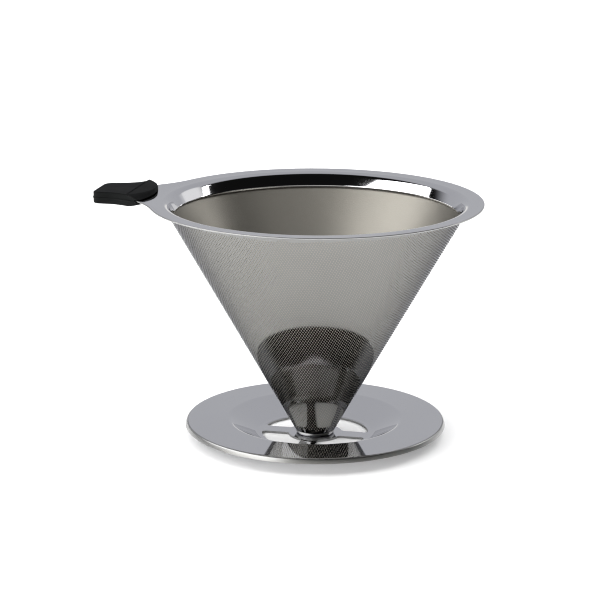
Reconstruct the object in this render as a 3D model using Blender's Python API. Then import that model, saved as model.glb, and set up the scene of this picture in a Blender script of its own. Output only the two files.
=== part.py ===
"""Pour over coffee dripper: a double-walled steel filter cone fixed on a flat saucer stand.

The frame is +Z up. The origin lies on the cone's axis, in the plane that the dripper stands on.
The handle tab points along -X. Lengths are written in millimetres and scaled by MM to metres.
"""
import math

import bmesh
import bpy
from mathutils import Vector

MM = 0.001

# Driving dimensions, in millimetres.
SEGMENTS = 72                 # facets round every turned piece
GAP = 0.3                     # clearance between neighbouring pieces
WALL_GAP = 0.25               # clearance between the nested conical walls
SHEET = 0.6                   # thickness of the rim collar's sheet
SAUCER_SHEET = 0.8            # thickness of the saucer's sheet
WALL = 0.3                    # thickness of each filter wall, square to the wall

RIM_RADIUS = 62.5
RIM_TOP = 91.0
SKIRT_BOTTOM = 85.5
BEND_RADIUS = 1.2             # mid-sheet radius between flange and skirt

CONE_SLOPE = 0.565            # radius gained for each unit of height
CONE_APEX = -11.03            # height where the outer wall would meet the axis
CONE_TOP = 90.0
MESH_TOP = 89.6
CONE_BOTTOM = 2.5

TAB_END = 80.0                # distance of the tab's end from the axis
TAB_HALF_WIDTH = 5.5
TAB_TAPER = math.radians(31.0)
TAB_CORNER = 2.5
FLARE_RADIUS = 42.0           # concave blend from the tab into the round flange

GRIP_TIP = 84.8
GRIP_ROOT = 61.2
GRIP_HALF_THICKNESS = 2.25
GRIP_LEAN = 0.2               # how far the root end leans back from its middle to its top and bottom
GRIP_LEAN_CURVE = 0.0155      # how fast that lean grows towards the sides
GRIP_LEAN_CENTRE = 4.0        # the y at which the lean is least
GRIP_LEAN_REACH = 12.0        # length over which the lean dies out
GRIP_DROP = 0.2               # how far the grip's middle lies below the tab's at the root
GRIP_DROOP = 0.03             # further drop for each millimetre outwards
GRIP_HALF_WIDTH = 9.2         # half width at the tip
GRIP_SIDE_TAPER = 0.1         # half width gained for each millimetre inwards
GRIP_FLARE = 5.2              # further half width gained along the flare
GRIP_FLARE_START = 78.0
GRIP_FLARE_LENGTH = 17.0
GRIP_BOW = 0.011              # curvature of the root end in plan
GRIP_BOW_CENTRE = -5.0        # the root end reaches furthest inwards at this y
GRIP_BOW_START = 72.0

SAUCER_RADIUS = 50.0
SAUCER_TOP = 6.7              # top of the flat ring round the well
ROLL_START = 46.0             # radius where the saucer's edge starts to roll down
ROLL_DEPTH = 1.1              # how far the mid-sheet rolls down
WELL_RADIUS = 21.2            # where the well's wall starts to rise
SHOULDER_RADIUS = 33.6        # where the well's wall meets the flat ring
WALL_FOOT_BEND = 4.0          # mid-sheet radius of the bend at the wall's foot
SHOULDER_BEND = 3.0           # mid-sheet radius of the bend at the wall's top
HUB_RADIUS = 10.2
HUB_RISE = 0.7                # the hub's middle is pressed up, so that the rivet's lower head fits under it
RISE_INNER = 4.6              # where the raised middle is flat
RISE_OUTER = 6.0              # where it meets the well's floor
DISC_RADIUS = 7.45            # tip disc, whose rim is turned down round the raised middle
DISC_RIM = 0.7                # width of the turned-down rim
CUTOUT_RADIUS = 20.3
SPOKE_WIDTH = 6.2
CUTOUT_CORNER = 1.5

RIVET_SHANK = 1.4
RIVET_HEAD = 3.2


def clear_scene():
    """Remove whatever the file holds before modelling starts."""
    for item in list(bpy.data.objects):
        bpy.data.objects.remove(item, do_unlink=True)


def make_material(name, colour, roughness, metallic):
    """Return a Principled material."""
    material = bpy.data.materials.new(name)
    material.use_nodes = True
    shader = material.node_tree.nodes["Principled BSDF"]
    shader.inputs["Base Color"].default_value = (*colour, 1.0)
    shader.inputs["Roughness"].default_value = roughness
    shader.inputs["Metallic"].default_value = metallic
    material.diffuse_color = (*colour, 1.0)
    return material


def add_object(name, mesh, material):
    """Link a mesh to the scene as a named object with its own material."""
    item = bpy.data.objects.new(name, mesh)
    bpy.context.scene.collection.objects.link(item)
    if material is not None:
        item.data.materials.append(material)
    return item


def smooth(item, angle=35.0):
    """Shade an object smooth, with sharp edges kept sharp."""
    item.data.shade_smooth()
    item.data.set_sharp_from_angle(angle=math.radians(angle))


def outer_radius(height):
    """Radius of the outer wall's outside at a height."""
    return CONE_SLOPE * (height - CONE_APEX)


def across_wall(distance):
    """Horizontal length of a distance measured square to the cone's wall."""
    return distance * math.sqrt(1.0 + CONE_SLOPE ** 2)


def arc(centre, radius, start, end, steps):
    """Points on an arc; the angles are in degrees."""
    points = []
    for step in range(steps + 1):
        angle = math.radians(start + (end - start) * step / steps)
        points.append((centre[0] + radius * math.cos(angle), centre[1] + radius * math.sin(angle)))
    return points


def sheet_section(middle, thickness):
    """Closed section of a bent sheet whose mid-line runs from the axis side outwards."""
    half = thickness / 2
    upper = []
    lower = []
    for index, point in enumerate(middle):
        before = Vector(middle[max(index - 1, 0)])
        after = Vector(middle[min(index + 1, len(middle) - 1)])
        along = (after - before).normalized()
        normal = Vector((-along.y, along.x))
        upper.append(Vector(point) + normal * half)
        lower.append(Vector(point) - normal * half)
    return [tuple(point) for point in upper + lower[::-1]]


def turned(name, section, material):
    """Turn a section (radius, height) about Z; it runs down its outer side."""
    mesh = bpy.data.meshes.new(name)
    points = [(radius * MM, 0.0, height * MM) for radius, height in section]
    closed_on_axis = section[0][0] < 1e-6 and section[-1][0] < 1e-6
    last = len(points) - 1 if closed_on_axis else len(points)
    edges = [(index, (index + 1) % len(points)) for index in range(last)]
    mesh.from_pydata(points, edges, [])
    item = add_object(name, mesh, material)
    screw = item.modifiers.new("turn", "SCREW")
    screw.axis = "Z"
    screw.steps = SEGMENTS
    screw.render_steps = SEGMENTS
    screw.use_merge_vertices = True
    screw.merge_threshold = 0.00001
    screw.use_smooth_shade = True
    return item


def hidden_cutter(name, mesh):
    """Link a mesh as a cutter that isn't part of the object."""
    cutter = add_object(name, mesh, None)
    cutter.hide_render = True
    cutter.display_type = "WIRE"
    return cutter


def cut(item, cutter):
    """Subtract a cutter from an object."""
    boolean = item.modifiers.new("cut_" + cutter.name, "BOOLEAN")
    boolean.operation = "DIFFERENCE"
    boolean.solver = "EXACT"
    boolean.object = cutter


def cone_wall_section(outer_offset, bottom, top):
    """Section of a conical wall that lies a horizontal offset inside the outer surface."""
    inner_offset = outer_offset + across_wall(WALL)
    return [
        (outer_radius(top) - inner_offset, top),
        (outer_radius(top) - outer_offset, top),
        (outer_radius(bottom) - outer_offset, bottom),
        (outer_radius(bottom) - inner_offset, bottom),
    ]


# ---------------------------------------------------------------- rim collar

def tab_outline(margin):
    """Half outline of the flange and its tab for y >= 0, from the tab's end to the far side of the rim.

    The tab's side is straight near its end, then a wide concave arc carries it into the round flange.
    """
    radius = RIM_RADIUS + margin
    blend = FLARE_RADIUS - margin
    side = Vector((math.cos(TAB_TAPER), math.sin(TAB_TAPER)))
    outward = Vector((-side.y, side.x))
    start = Vector((-TAB_END, TAB_HALF_WIDTH)) + outward * margin
    # The blend's centre is a distance `reach` from the axis and `blend` from the tab's side.
    reach = radius + blend
    offset = blend + start.dot(outward)
    centre_angle = math.acos(offset / reach) + math.atan2(outward.y, outward.x)
    centre = Vector((math.cos(centre_angle), math.sin(centre_angle))) * reach
    on_side = centre - outward * blend
    on_rim = centre.normalized() * radius

    points = []
    corner = TAB_CORNER + margin
    half_end = TAB_HALF_WIDTH + margin * 0.8
    end_x = -(TAB_END + margin)
    points.append((end_x, 0.0))
    corner_end = 90.0 + math.degrees(TAB_TAPER)
    points.extend(arc((end_x + corner, half_end - corner), corner, 180.0, corner_end, 3))
    points.append(tuple(on_side))
    first = math.degrees(math.atan2(on_side.y - centre.y, on_side.x - centre.x))
    last = math.degrees(math.atan2(on_rim.y - centre.y, on_rim.x - centre.x))
    points.extend(arc(tuple(centre), blend, first, last, 8)[1:])
    rim_start = math.degrees(math.atan2(on_rim.y, on_rim.x))
    steps = round(rim_start / 360.0 * SEGMENTS)
    points.extend(arc((0.0, 0.0), radius, rim_start, 0.0, steps)[1:])
    return points


def full_outline(half):
    """Mirror a half outline in the X axis into a closed outline."""
    mirrored = [(x, -y) for x, y in half[-2:0:-1]]
    return half + mirrored


def collar_profile():
    """Mid-line of the collar from the skirt's lower end, over the bend, to the flange's edge."""
    offset = across_wall(2 * WALL + 2 * WALL_GAP + SHEET / 2)
    middle_z = RIM_TOP - SHEET / 2
    lean = math.degrees(math.atan(CONE_SLOPE))
    corner_radius = outer_radius(middle_z) - offset
    tangent = BEND_RADIUS * math.tan(math.radians((90.0 - lean) / 2))
    centre = (corner_radius + tangent, middle_z - BEND_RADIUS)
    bend = arc(centre, BEND_RADIUS, 180.0 - lean, 90.0, 5)
    return [(outer_radius(SKIRT_BOTTOM) - offset, SKIRT_BOTTOM)] + bend


def rim_collar(material):
    """One stamping: flat flange with its handle tab, and a conical skirt inside the filter."""
    outline = full_outline(tab_outline(0.0))
    angles = [math.atan2(y, x) for x, y in outline]
    profile = collar_profile()
    section = sheet_section(profile, SHEET)
    count = len(profile)
    edge_round = 0.12

    loops = []
    for radius, height in section[:count]:
        loops.append([(radius * math.cos(a), radius * math.sin(a), height) for a in angles])
    for inset, height in ((edge_round, RIM_TOP), (0.0, RIM_TOP - edge_round),
                          (0.0, RIM_TOP - SHEET + edge_round), (edge_round, RIM_TOP - SHEET)):
        loop = []
        for (x, y), a in zip(outline, angles):
            loop.append((x - inset * math.cos(a), y - inset * math.sin(a), height))
        loops.append(loop)
    for radius, height in section[count:]:
        loops.append([(radius * math.cos(a), radius * math.sin(a), height) for a in angles])

    body = bmesh.new()
    rings = [[body.verts.new(Vector(point) * MM) for point in loop] for loop in loops]
    sides = len(outline)
    for ring, following in zip(rings, rings[1:] + rings[:1]):
        for index in range(sides):
            after = (index + 1) % sides
            body.faces.new((ring[index], ring[after], following[after], following[index]))
    bmesh.ops.recalc_face_normals(body, faces=body.faces)
    mesh = bpy.data.meshes.new("rim_collar")
    body.to_mesh(mesh)
    body.free()
    item = add_object("rim_collar", mesh, material)
    smooth(item)
    return item


# --------------------------------------------------------------- grip sleeve

def grip_half_width(distance):
    """Half width of the grip at a distance from the axis; it widens towards the rim."""
    tip_round = 3.2
    share = min(1.0, max(0.0, (GRIP_FLARE_START - distance) / GRIP_FLARE_LENGTH))
    flare = GRIP_FLARE * share * share * (3 - 2 * share)
    width = GRIP_HALF_WIDTH + GRIP_SIDE_TAPER * (GRIP_TIP - distance) + flare
    into_tip = tip_round - (GRIP_TIP - distance)
    if into_tip > 0:
        width -= tip_round - math.sqrt(max(tip_round ** 2 - into_tip ** 2, 0.0))
    return width


def grip_half_thickness(distance):
    """Half thickness of the grip; it rounds off at the tip."""
    height = GRIP_HALF_THICKNESS
    tip_round = 1.4
    into_tip = tip_round - (GRIP_TIP - distance)
    if into_tip > 0:
        height -= tip_round - math.sqrt(max(tip_round ** 2 - into_tip ** 2, 0.0))
    return height


def grip_half_section(distance):
    """Upper half of the grip's section, a rounded bar, from its +Y side to its -Y side."""
    half_width = grip_half_width(distance)
    half_height = grip_half_thickness(distance)
    corner = 0.62 * half_height
    flat = half_width - corner
    rounding = arc((flat, half_height - corner), corner, 0.0, 90.0, 3)
    top = [(flat * (1 - step / 3), half_height) for step in range(1, 6)]
    mirrored = [(-y, z) for y, z in rounding[::-1]]
    return rounding + top + mirrored


def grip_lean(distance, y, level):
    """How far a point of the grip is moved outwards, so that its root end leans back."""
    share = max(0.0, 1.0 - (distance - GRIP_ROOT) / GRIP_LEAN_REACH)
    return share * level * level * (GRIP_LEAN + GRIP_LEAN_CURVE * (y - GRIP_LEAN_CENTRE) ** 2)


def grip_sleeve(material):
    """Soft sleeve over the tab, lofted through rounded sections, with a slot for the tab."""
    middle_z = RIM_TOP - SHEET / 2
    distances = [GRIP_TIP - d for d in (0.0, 0.15, 0.5, 1.0, 1.8, 3.2, 6.0, 9.5, 12.5, 15.0, 17.5, 20.0, 22.0)]
    distances.append(GRIP_ROOT)
    body = bmesh.new()
    sections = []
    for distance in distances:
        centre_z = middle_z - GRIP_DROP - GRIP_DROOP * max(0.0, distance - RIM_RADIUS)
        # The root end is a shallow arc in plan, so the sections bow more and more towards it.
        share = (GRIP_BOW_START - distance) / (GRIP_BOW_START - GRIP_ROOT)
        bow = GRIP_BOW * max(0.0, share)
        upper = []
        lower = []
        for y, z in grip_half_section(distance):
            lean = grip_lean(distance, y, z / GRIP_HALF_THICKNESS)
            x = -distance - bow * (y - GRIP_BOW_CENTRE) ** 2 - lean
            y *= grip_half_width(distance + lean) / grip_half_width(distance) if lean > 0 else 1.0
            upper.append(body.verts.new(Vector((x, y, centre_z + z)) * MM))
            lower.append(body.verts.new(Vector((x, y, centre_z - z)) * MM))
        sections.append(upper + lower[::-1])
    for ring, following in zip(sections, sections[1:]):
        sides = len(ring)
        for index in range(sides):
            after = (index + 1) % sides
            body.faces.new((ring[index], ring[after], following[after], following[index]))
    for ring in (sections[0], sections[-1]):
        last = len(ring) - 1
        for index in range(len(ring) // 2 - 1):
            body.faces.new((ring[index], ring[index + 1], ring[last - index - 1], ring[last - index]))
    bmesh.ops.recalc_face_normals(body, faces=body.faces)
    mesh = bpy.data.meshes.new("grip_sleeve")
    body.to_mesh(mesh)
    body.free()
    item = add_object("grip_sleeve", mesh, material)
    cut(item, slot_cutter(middle_z))
    smooth(item, 40.0)
    return item


def slot_cutter(middle_z):
    """Flat slab with the tab's outline, a clearance larger all round."""
    outline = [point for point in full_outline(tab_outline(GAP)) if point[0] < -40.0]
    outline.sort(key=lambda point: math.atan2(point[1], -point[0]))
    low = middle_z - SHEET / 2 - GAP
    body = bmesh.new()
    face = body.faces.new([body.verts.new(Vector((x, y, low)) * MM) for x, y in outline])
    raised = bmesh.ops.extrude_face_region(body, geom=[face])
    moved = [part for part in raised["geom"] if isinstance(part, bmesh.types.BMVert)]
    bmesh.ops.translate(body, verts=moved, vec=(0.0, 0.0, (SHEET + 2 * GAP) * MM))
    bmesh.ops.recalc_face_normals(body, faces=body.faces)
    mesh = bpy.data.meshes.new("slot_cutter")
    body.to_mesh(mesh)
    body.free()
    return hidden_cutter("slot_cutter", mesh)


# -------------------------------------------------------------- filter cones

def outer_filter_cone(material):
    """Outer perforated wall, welded between the tip disc and the collar."""
    return turned("outer_filter_cone", cone_wall_section(0.0, CONE_BOTTOM, CONE_TOP), material)


def inner_mesh_cone(material):
    """Fine woven wall inside the outer one."""
    offset = across_wall(WALL + WALL_GAP)
    return turned("inner_mesh_cone", cone_wall_section(offset, CONE_BOTTOM, MESH_TOP), material)


def inner_tip_cup(material):
    """Small cup that closes the woven wall's narrow end, open at the top."""
    thickness = 0.4
    floor_z = 3.8
    lip_z = 8.0
    offset = across_wall(2 * (WALL + WALL_GAP) + thickness / 2)
    middle = [(0.0, floor_z), (outer_radius(floor_z) - offset - 0.5, floor_z)]
    middle.append((outer_radius(floor_z + 0.4) - offset, floor_z + 0.4))
    middle.append((outer_radius(lip_z) - offset, lip_z))
    return turned("inner_tip_cup", sheet_section(middle, thickness), material)


def tip_disc(material):
    """Round disc under the narrow end of both walls, with the rivet's hole and a turned-down rim."""
    hole = RIVET_SHANK + GAP
    low = HUB_RISE + SAUCER_SHEET + 0.2
    high = CONE_BOTTOM - GAP
    rim_low = SAUCER_SHEET + 0.2
    edge = 0.2
    foot = DISC_RADIUS - 0.45
    section = [
        (hole, high),
        (DISC_RADIUS - edge, high),
        (DISC_RADIUS, high - edge),
        (foot, rim_low),
        (foot - DISC_RIM / 2, rim_low),
        (foot - DISC_RIM / 2, low),
        (hole, low),
    ]
    return turned("tip_disc", section, material)


def hub_rivet(material):
    """Rivet through the saucer's hub and the tip disc; its lower head is level with the rest plane."""
    upper_seat = CONE_BOTTOM - GAP + 0.2
    lower_seat = HUB_RISE - 0.2
    section = [
        (0.0, upper_seat + 0.6),
        (1.6, upper_seat + 0.5),
        (2.6, upper_seat + 0.2),
        (2.8, upper_seat),
        (RIVET_SHANK, upper_seat),
        (RIVET_SHANK, lower_seat),
        (RIVET_HEAD, lower_seat),
        (RIVET_HEAD, 0.15),
        (RIVET_HEAD - 0.15, 0.0),
        (0.0, 0.0),
    ]
    return turned("hub_rivet", section, material)


# -------------------------------------------------------------------- saucer

def wall_slope():
    """Slope of the straight wall that touches both of the well's bends."""
    rise = SAUCER_TOP - SAUCER_SHEET - WALL_FOOT_BEND - SHOULDER_BEND
    run = SHOULDER_RADIUS - WELL_RADIUS
    return math.atan2(rise, run) + math.asin((WALL_FOOT_BEND + SHOULDER_BEND) / math.hypot(rise, run))


def saucer_middle():
    """Mid-line of the saucer's sheet from the rivet's hole to its turned-down edge."""
    half = SAUCER_SHEET / 2
    hole = RIVET_SHANK + GAP
    middle = [(hole, HUB_RISE + half), (RISE_INNER, HUB_RISE + half)]
    for share in (0.25, 0.5, 0.75, 1.0):
        ease = share * share * (3 - 2 * share)
        middle.append((RISE_INNER + (RISE_OUTER - RISE_INNER) * share, half + HUB_RISE * (1 - ease)))
    middle.append((HUB_RADIUS, half))
    ring_height = SAUCER_TOP - half
    slope = math.degrees(wall_slope())
    middle += arc((WELL_RADIUS, half + WALL_FOOT_BEND), WALL_FOOT_BEND, -90.0, slope - 90.0, 4)
    middle += arc((SHOULDER_RADIUS, ring_height - SHOULDER_BEND), SHOULDER_BEND, 90.0 + slope, 90.0, 4)
    middle.append((SHOULDER_RADIUS + 1.0, ring_height))
    middle.append((ROLL_START - 1.0, ring_height))
    roll_width = SAUCER_RADIUS - half - ROLL_START
    for step in range(7):
        angle = math.radians(96.0 * step / 6)
        radius = ROLL_START + roll_width * math.sin(angle)
        middle.append((radius, ring_height - ROLL_DEPTH * (1 - math.cos(angle))))
    return middle


def cutout_cutter():
    """Four rounded openings round the hub that leave four spokes along X and Y."""
    body = bmesh.new()
    half_spoke = SPOKE_WIDTH / 2
    first = math.degrees(math.asin(half_spoke / CUTOUT_RADIUS))
    inner = math.degrees(math.asin(half_spoke / HUB_RADIUS))
    corners = []
    for quadrant in range(4):
        turn = 90.0 * quadrant
        points = arc((0, 0), CUTOUT_RADIUS, turn + first, turn + 90.0 - first, 8)
        points += arc((0, 0), HUB_RADIUS, turn + 90.0 - inner, turn + inner, 4)
        low = [body.verts.new((x * MM, y * MM, -2.0 * MM)) for x, y in points]
        high = [body.verts.new((x * MM, y * MM, 4.0 * MM)) for x, y in points]
        body.faces.new(low[::-1])
        body.faces.new(high)
        sides = len(points)
        for index in range(sides):
            after = (index + 1) % sides
            body.faces.new((low[index], low[after], high[after], high[index]))
        for index in (0, 8, 9, 13):
            corners.append(body.edges.get((low[index], high[index])))
    bmesh.ops.bevel(body, geom=corners, offset=CUTOUT_CORNER * MM, segments=3, profile=0.5, affect="EDGES")
    bmesh.ops.recalc_face_normals(body, faces=body.faces)
    mesh = bpy.data.meshes.new("cutout_cutter")
    body.to_mesh(mesh)
    body.free()
    return hidden_cutter("cutout_cutter", mesh)


def saucer_stand(material):
    """Round saucer with a flat well, four drip openings, a gentle dish and a turned-down edge."""
    item = turned("saucer_stand", sheet_section(saucer_middle(), SAUCER_SHEET), material)
    cut(item, cutout_cutter())
    return item


def build():
    """Model the whole dripper."""
    clear_scene()
    polished = (0.62, 0.62, 0.64)
    rim_collar(make_material("collar_steel", polished, 0.12, 1.0))
    outer_filter_cone(make_material("perforated_steel", (0.50, 0.50, 0.50), 0.2, 1.0))
    inner_mesh_cone(make_material("woven_steel", (0.45, 0.44, 0.41), 0.5, 1.0))
    inner_tip_cup(make_material("cup_steel", polished, 0.2, 1.0))
    tip_disc(make_material("disc_steel", (0.30, 0.30, 0.31), 0.15, 1.0))
    hub_rivet(make_material("rivet_steel", polished, 0.25, 1.0))
    saucer_stand(make_material("saucer_steel", polished, 0.1, 1.0))
    grip_sleeve(make_material("black_silicone", (0.012, 0.013, 0.013), 0.55, 0.0))


build()
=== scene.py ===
import math

import bmesh
import bpy
import numpy as np
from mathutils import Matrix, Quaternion, Vector


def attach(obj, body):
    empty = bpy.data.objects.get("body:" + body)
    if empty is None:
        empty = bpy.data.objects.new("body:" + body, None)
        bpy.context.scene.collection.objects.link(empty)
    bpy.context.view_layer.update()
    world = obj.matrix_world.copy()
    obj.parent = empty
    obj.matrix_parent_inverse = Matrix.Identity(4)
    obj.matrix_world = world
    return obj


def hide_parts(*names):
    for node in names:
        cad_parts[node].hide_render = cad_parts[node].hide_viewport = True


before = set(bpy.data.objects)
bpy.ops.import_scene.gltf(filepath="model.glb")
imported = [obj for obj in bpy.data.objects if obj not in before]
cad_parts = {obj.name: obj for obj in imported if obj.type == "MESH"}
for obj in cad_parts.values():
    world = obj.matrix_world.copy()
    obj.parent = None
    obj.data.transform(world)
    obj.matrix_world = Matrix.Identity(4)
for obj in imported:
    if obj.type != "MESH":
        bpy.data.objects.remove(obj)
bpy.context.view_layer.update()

# Lengths are in millimetres, scaled by MM to metres, in the frame of the CAD part: +Z up, the origin
# on the cone's axis in the rest plane, the handle tab along -X.
MM = 0.001
TURNED_STEPS = 256            # facets round a turned piece

SHEET = 0.6                   # rim collar's sheet
SAUCER_SHEET = 0.8            # saucer's sheet
WALL = 0.3                    # a filter wall, in the CAD part
WALL_GAP = 0.25               # clearance between the nested conical walls, in the CAD part
GAP = 0.3                     # clearance between neighbouring pieces

RIM_RADIUS = 62.5
RIM_TOP = 91.0
SKIRT_BOTTOM = 85.5
BEND_RADIUS = 3.0             # mid-sheet radius between flange and skirt
FLANGE_RISE = 0.2             # the flange's inner edge lies this much below its outer edge
FLANGE_WIDTH = 4.9            # from the bend to the outer edge
FLANGE_ROUNDING = 0.26        # on both sides of the flange's cut edge
FLANGE_LOOPS = (2.2, 0.9)     # loops this far in from the edge keep the shading of the flange flat
LIP_RADIUS = 0.7              # mid-sheet radius where the skirt's lower edge turns upright
LIP_HEIGHT = 0.25             # upright part of the skirt's lower edge

CONE_SLOPE = 0.565            # radius gained for each unit of height
CONE_APEX = -11.03            # height where the outer wall would meet the axis
CONE_TOP = 90.0
MESH_TOP = 89.6
CONE_BOTTOM = 2.5
CONE_LEAN = math.atan(CONE_SLOPE)

# The perforated sheet, as it lies flat: two families of straight ribs, mirrored in its middle line.
RIB_ANGLE = math.radians(29.9)   # between a rib and the middle line
RIB_PITCH = 0.887                 # between neighbouring parallel ribs
RIB_WIDTH = 0.35
WEB_THICKNESS = 0.06
BORDER_BOTTOM = 0.9               # unperforated border at the narrow end
BORDER_TOP = 1.6                  # unperforated border at the wide end
BORDER_SEAM = 2.2                 # unperforated border on each side of the seam
SEAM_GAP = 0.06                   # half the width of the seam's butt joint
SHEET_PANELS = 4                  # side by side round the cone
MESH_DEPTH = 0.07                 # from the perforated wall's outside to the woven wall
LAYER_SPARE = 1.03                # the texture layer is this many times the size of its panel
LAYER_MARGIN = 0.005              # and the panel starts this far in, as a share of the layer

TAB_END = 80.0                # distance of the tab's end from the axis
TAB_HALF_WIDTH = 5.5
TAB_TAPER = math.radians(31.0)
TAB_CORNER = 2.5
FLARE_RADIUS = 42.0           # concave blend from the tab into the round flange

GRIP_TIP = 84.8
GRIP_ROOT = 61.2
GRIP_HALF_THICKNESS = 2.25
GRIP_LEAN = 0.2               # how far the root end leans back from its middle to its top and bottom
GRIP_LEAN_CURVE = 0.0155      # how fast that lean grows towards the sides
GRIP_LEAN_CENTRE = 4.0        # the y at which the lean is least
GRIP_LEAN_REACH = 12.0        # length over which the lean dies out
GRIP_DROP = 0.2               # how far the grip's middle lies below the tab's at the root
GRIP_DROOP = 0.03             # further drop for each millimetre outwards
GRIP_HALF_WIDTH = 9.2         # half width at the tip
GRIP_SIDE_TAPER = 0.1         # half width gained for each millimetre inwards
GRIP_FLARE = 5.2              # further half width gained along the flare
GRIP_FLARE_START = 78.0
GRIP_FLARE_LENGTH = 17.0
GRIP_BOW = 0.011              # curvature of the root end in plan
GRIP_BOW_CENTRE = -5.0        # the root end reaches furthest inwards at this y
GRIP_BOW_START = 72.0
GRIP_TIP_ROUND = 3.2          # corner radius in plan, at the tip
GRIP_ROOT_ROUND = 0.8         # and at the root
GRIP_RIDGE = 0.22             # how far the parting ridge stands out
GRIP_CORNER = 0.24            # share of the half thickness that the top edge's rounding takes

SAUCER_RADIUS = 50.0
SAUCER_TOP = 6.7              # top of the ring round the well, at the well's shoulder
RING_FALL = 0.021             # the ring falls this much for each unit outwards
ROLL_START = 48.2             # radius where the saucer's edge starts to roll down
ROLL_RADIUS = 0.45            # mid-sheet radius of the roll's tight bend
ROLL_DEPTH = 1.5              # how far the mid-sheet comes down
RING_LOOPS_INNER = (0.5, 4.0)  # loops on the ring this far out from the well's shoulder
RING_LOOPS_OUTER = (3.0, 0.3)  # and this far in from the start of the roll
WELL_RADIUS = 21.2            # where the well's wall starts to rise
SHOULDER_RADIUS = 33.6        # where the well's wall meets the ring
WALL_FOOT_BEND = 4.0          # mid-sheet radius of the bend at the wall's foot
SHOULDER_BEND = 3.0           # mid-sheet radius of the bend at the wall's top
ROLL_STEEP = 68.0             # slope at the end of the roll's tight bend, in degrees
HUB_RADIUS = 10.2
HUB_RISE = 0.7                # the hub's middle is pressed up, so that the rivet's lower head fits under it
RISE_INNER = 4.6              # where the raised middle is flat
RISE_OUTER = 6.0              # where it meets the well's floor
DISC_RADIUS = 7.45            # tip disc, whose rim is turned down round the raised middle
DISC_RIM = 0.7                # width of the turned-down rim
DISC_TAPER = 0.45             # how far the rim's foot is drawn in
DISC_ROUNDING = 0.2
CUTOUT_RADIUS = 20.3
SPOKE_WIDTH = 6.2
CUTOUT_CORNER = 1.5

RIVET_SHANK = 1.4
RIVET_HEAD = 3.2              # radius of the lower head
RIVET_ROUNDING = 0.15         # on the lower head's edge
RIVET_DOME = 2.8              # radius of the domed upper head
RIVET_DOME_HEIGHT = 0.6
STACK_GAP = 0.2               # clearance between saucer, tip disc and rivet, one above the other

CUP_SHEET = 0.4               # tip cup's sheet
CUP_FLOOR = 3.8               # mid-sheet height of the cup's floor
CUP_LIP = 8.0
CUP_BEND_WIDTH = 0.9          # the bend between the cup's floor and its wall
CUP_BEND_HEIGHT = 0.8


# ------------------------------------------------------------------- helpers

def add_object(name, mesh, material):
    """Link a mesh to the scene as a named object with its material."""
    item = bpy.data.objects.new(name, mesh)
    bpy.context.scene.collection.objects.link(item)
    if material is not None:
        mesh.materials.append(material)
    return item


def smooth(mesh, angle=35.0):
    """Shade a mesh smooth, with edges over an angle in degrees kept sharp."""
    mesh.shade_smooth()
    mesh.set_sharp_from_angle(angle=math.radians(angle))


def settle(item):
    """Replace an object's mesh by its evaluated one, so that its modifiers are in the mesh."""
    graph = bpy.context.evaluated_depsgraph_get()
    result = bpy.data.meshes.new_from_object(item.evaluated_get(graph), depsgraph=graph)
    item.modifiers.clear()
    item.data = result
    return item


def outer_radius(height):
    """Radius of the outer wall's outside at a height."""
    return CONE_SLOPE * (height - CONE_APEX)


def across_wall(distance):
    """Horizontal length of a distance measured square to the cone's wall."""
    return distance * math.sqrt(1.0 + CONE_SLOPE ** 2)


def eased(share):
    """A share from 0 to 1 that sets off and arrives slowly."""
    return share * share * (3 - 2 * share)


def arc(centre, radius, start, end, steps):
    """Points on an arc; the angles are in degrees."""
    points = []
    for step in range(steps + 1):
        angle = math.radians(start + (end - start) * step / steps)
        points.append((centre[0] + radius * math.cos(angle), centre[1] + radius * math.sin(angle)))
    return points


def sheet_section(middle, thickness):
    """Closed section of a bent sheet whose mid-line runs from the axis side outwards."""
    half = thickness / 2
    upper = []
    lower = []
    for index, point in enumerate(middle):
        before = Vector(middle[max(index - 1, 0)])
        after = Vector(middle[min(index + 1, len(middle) - 1)])
        along = (after - before).normalized()
        normal = Vector((-along.y, along.x))
        upper.append(Vector(point) + normal * half)
        lower.append(Vector(point) - normal * half)
    return [tuple(point) for point in upper + lower[::-1]]


def turned(name, section, material):
    """Turn a section (radius, height) about Z; it runs down its outer side."""
    mesh = bpy.data.meshes.new(name)
    points = [(radius * MM, 0.0, height * MM) for radius, height in section]
    closed_on_axis = section[0][0] < 1e-6 and section[-1][0] < 1e-6
    last = len(points) - 1 if closed_on_axis else len(points)
    edges = [(index, (index + 1) % len(points)) for index in range(last)]
    mesh.from_pydata(points, edges, [])
    item = add_object(name, mesh, material)
    screw = item.modifiers.new("turn", "SCREW")
    screw.axis = "Z"
    screw.steps = TURNED_STEPS
    screw.render_steps = TURNED_STEPS
    screw.use_merge_vertices = True
    screw.merge_threshold = 0.000001
    settle(item)
    smooth(item.data)
    return item


def cut(item, cutter):
    """Subtract a cutter from an object, and remove the cutter."""
    boolean = item.modifiers.new("cut", "BOOLEAN")
    boolean.operation = "DIFFERENCE"
    boolean.solver = "EXACT"
    boolean.object = cutter
    settle(item)
    bpy.data.objects.remove(cutter, do_unlink=True)
    return item


def extruded(name, outline, low, high):
    """Closed prism over an outline (x, y), between two heights."""
    body = bmesh.new()
    lower = [body.verts.new((x * MM, y * MM, low * MM)) for x, y in outline]
    upper = [body.verts.new((x * MM, y * MM, high * MM)) for x, y in outline]
    body.faces.new(lower[::-1])
    body.faces.new(upper)
    for index in range(len(outline)):
        after = (index + 1) % len(outline)
        body.faces.new((lower[index], lower[after], upper[after], upper[index]))
    bmesh.ops.recalc_face_normals(body, faces=body.faces)
    mesh = bpy.data.meshes.new(name)
    body.to_mesh(mesh)
    body.free()
    return add_object(name, mesh, None)


# ----------------------------------------------------------------- materials

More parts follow.
